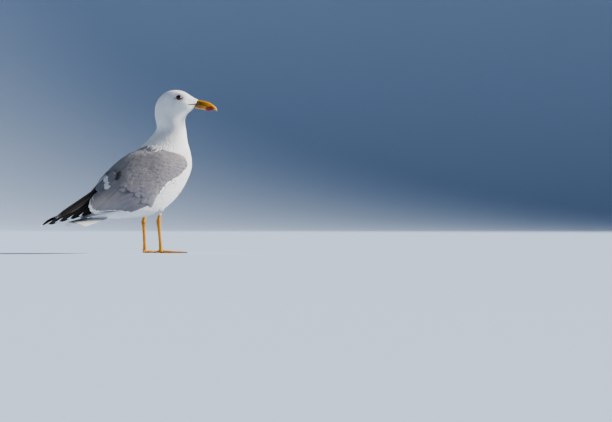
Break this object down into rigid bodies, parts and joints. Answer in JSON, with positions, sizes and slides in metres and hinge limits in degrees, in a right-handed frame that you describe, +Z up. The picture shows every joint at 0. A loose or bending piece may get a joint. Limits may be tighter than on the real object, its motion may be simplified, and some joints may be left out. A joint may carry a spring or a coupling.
{
  "type": "yellow-legged gull, still life-size model",
  "caption": "Life-size standing gull with folded wings, its head turned to its right, on two webbed feet.",
  "frame": {"origin": "on the floor under the middle of the bird's bounding box", "axes": "+X the way the trunk faces, -Y the bird's right side, to which the head is turned, +Z up"},
  "size_m": [0.428, 0.1316, 0.3518],
  "materials": {
    "plumage": "matte white body feathers over the flesh of head, neck, trunk and thighs",
    "wing_feathers": "matte mid-grey wing feathers",
    "dark_feathers": "satin black wing-tip feathers with white tips",
    "tail_feathers": "matte white feathers of tail, rump and tail coverts",
    "bill": "smooth yellow horn with an orange-red spot",
    "eye": "clear wet cornea over a pale iris",
    "leg_skin": "orange-yellow scaled skin",
    "claw": "dark horn"
  },
  "bodies": {
    "root": {"bill_lower": "bill", "bill_upper": "bill", "claw_left_hind": "claw", "claw_left_inner": "claw", "claw_left_middle": "claw", "claw_left_outer": "claw", "claw_right_hind": "claw", "claw_right_inner": "claw", "claw_right_middle": "claw", "claw_right_outer": "claw", "eye_left": "eye", "eye_right": "eye", "foot_left": "leg_skin", "foot_right": "leg_skin", "head": "plumage", "leg_left": "leg_skin", "leg_right": "leg_skin", "neck": "plumage", "primaries_left": "dark_feathers", "primaries_right": "dark_feathers", "rump": "tail_feathers", "tail": "tail_feathers", "thigh_left": "plumage", "thigh_right": "plumage", "trunk": "plumage", "wing_left": "wing_feathers", "wing_right": "wing_feathers"}
  },
  "joints": []
}
